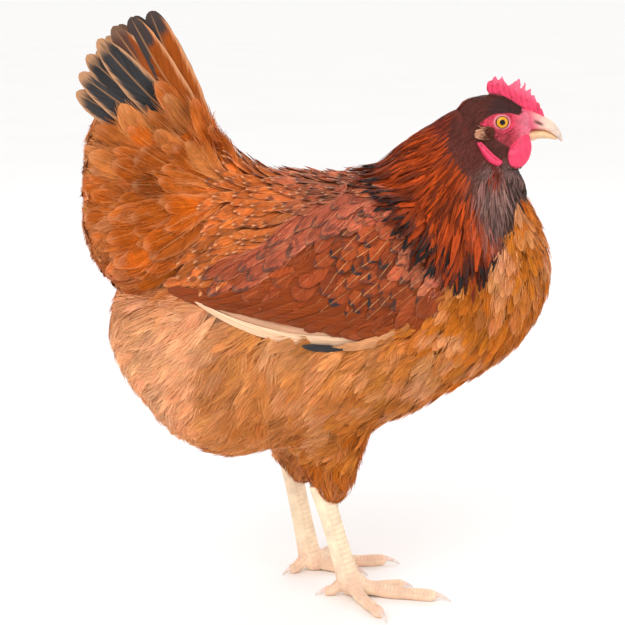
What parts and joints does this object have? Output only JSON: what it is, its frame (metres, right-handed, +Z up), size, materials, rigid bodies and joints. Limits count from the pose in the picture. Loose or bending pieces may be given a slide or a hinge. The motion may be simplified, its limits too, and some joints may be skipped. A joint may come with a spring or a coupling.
{
  "type": "hen",
  "caption": "Standing red laying hen with folded wings, raised fanned tail, upright single comb, wattles and toes spread flat on the ground.",
  "frame": {"origin": "under the middle of the bounding box, at floor height", "axes": "+X the way the hen faces, +Y its left side, +Z up"},
  "size_m": [0.3766, 0.173, 0.4684],
  "materials": {
    "feather": "soft layered feathers, orange-chestnut, mahogany on the neck, paler and downy below",
    "red_skin": "bare pink-red skin, granular, with a soft sheen",
    "horn": "pale smooth horn",
    "eye": "wet glossy, amber iris and black pupil",
    "leg_scale": "pale cream-yellow scales, dry"
  },
  "bodies": {
    "root": {"trunk": "feather", "neck": "feather", "head": "feather", "tail_coverts": "feather", "tail_right": "feather", "tail_left": "feather", "wing_right": "feather", "wing_left": "feather", "primaries_right": "feather", "primaries_left": "feather", "thigh_right": "feather", "thigh_left": "feather", "ear_coverts_right": "feather", "ear_coverts_left": "feather", "comb": "red_skin", "wattle_right": "red_skin", "wattle_left": "red_skin", "earlobe_right": "red_skin", "earlobe_left": "red_skin", "bill_upper": "horn", "bill_lower": "horn", "eye_right": "eye", "eye_left": "eye", "shank_right": "leg_scale", "shank_left": "leg_scale", "foot_right": "leg_scale", "foot_left": "leg_scale", "claw_right_1": "horn", "claw_right_2": "horn", "claw_right_3": "horn", "claw_right_4": "horn", "claw_left_1": "horn", "claw_left_2": "horn", "claw_left_3": "horn", "claw_left_4": "horn"}
  },
  "joints": []
}
